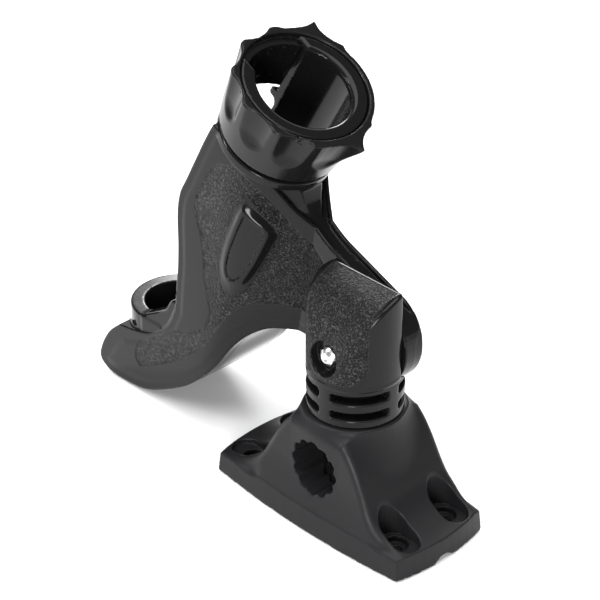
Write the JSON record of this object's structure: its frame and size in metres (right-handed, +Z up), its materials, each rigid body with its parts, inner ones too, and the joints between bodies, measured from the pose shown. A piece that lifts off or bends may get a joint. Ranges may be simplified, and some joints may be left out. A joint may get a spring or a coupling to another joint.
{
  "type": "adjustable fishing rod holder",
  "caption": "Deck-mounted fishing rod holder: splined mount, swivel post, tilting open-backed rod cradle with a lobed lock ring and a butt cup.",
  "frame": {"origin": "centre of the mount's underside", "axes": "+Z up out of the mounting surface, +X towards the front of the mount, away from the cradle; the tilt pivot lies along Y"},
  "size_m": [0.2461, 0.0841, 0.2257],
  "materials": {
    "mount_plastic": "satin, glass-filled nylon",
    "post_plastic": "gloss with a grained lug",
    "cradle_plastic": "gloss with grained side panels",
    "ring_plastic": "satin gloss",
    "stainless": "bright stainless steel",
    "insert_nylon": "satin"
  },
  "bodies": {
    "base": {"mount_base": "mount_plastic"},
    "post": {"swivel_post": "post_plastic", "pivot_bolt": "stainless", "pivot_washer": "stainless", "pivot_nut": "stainless", "nut_insert": "insert_nylon"},
    "cradle": {"cradle_body": "cradle_plastic"},
    "ring": {"lock_ring": "ring_plastic"}
  },
  "joints": [
    {"name": "post_lift", "type": "slide", "parent": "base", "child": "post", "axis": [0, 0, 1], "range_m": [0, 0.048]},
    {"name": "cradle_tilt", "type": "hinge", "parent": "post", "child": "cradle", "pos_m": [0.0045, 0.014, 0.0954], "axis": [0, 1, 0], "range_deg": [0, 105]},
    {"name": "lock_ring_turn", "type": "hinge", "parent": "cradle", "child": "ring", "pos_m": [-0.0451, 0.014, 0.2082], "axis": [0.4909, 0, 0.8712], "range_deg": [0, 90]}
  ]
}
